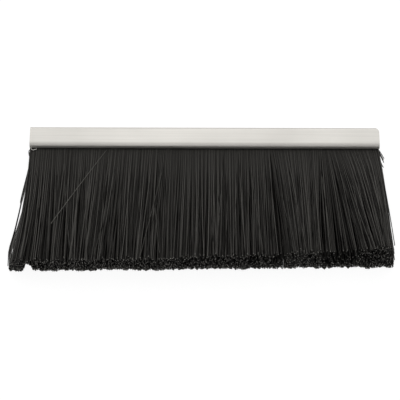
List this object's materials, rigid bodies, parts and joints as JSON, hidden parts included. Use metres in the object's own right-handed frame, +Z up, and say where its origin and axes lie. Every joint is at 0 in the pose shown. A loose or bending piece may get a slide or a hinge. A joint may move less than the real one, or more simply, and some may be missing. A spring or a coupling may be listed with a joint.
{
  "type": "strip brush",
  "caption": "Straight strip brush: a folded sheet-metal channel clamps black nylon filaments over a core wire, cut to a ragged, slightly splayed edge.",
  "frame": {"origin": "middle of the channel's spine: on its outer face, halfway along it and halfway between the two legs", "axes": "+X along the channel, +Y out of the spine so that the filaments point to -Y, +Z up, out of the front leg, with the back leg lying down"},
  "size_m": [0.1951, 0.074, 0.0212],
  "materials": {
    "channel_metal": "bright galvanised sheet, satin, with faint lengthwise rolling marks",
    "wire_metal": "drawn wire, cut ends",
    "black_nylon": "black nylon filament with a soft sheen"
  },
  "bodies": {
    "root": {"channel": "channel_metal", "core_wire": "wire_metal", "bristle_bundle_01": "black_nylon", "bristle_bundle_02": "black_nylon", "bristle_bundle_03": "black_nylon", "bristle_bundle_04": "black_nylon", "bristle_bundle_05": "black_nylon", "bristle_bundle_06": "black_nylon", "bristle_bundle_07": "black_nylon", "bristle_bundle_08": "black_nylon", "bristle_bundle_09": "black_nylon", "bristle_bundle_10": "black_nylon", "bristle_bundle_11": "black_nylon", "bristle_bundle_12": "black_nylon", "bristle_bundle_13": "black_nylon", "bristle_bundle_14": "black_nylon", "bristle_bundle_15": "black_nylon", "bristle_bundle_16": "black_nylon", "bristle_bundle_17": "black_nylon", "bristle_bundle_18": "black_nylon", "bristle_bundle_19": "black_nylon", "bristle_bundle_20": "black_nylon", "bristle_bundle_21": "black_nylon", "bristle_bundle_22": "black_nylon", "bristle_bundle_23": "black_nylon", "bristle_bundle_24": "black_nylon"}
  },
  "joints": []
}
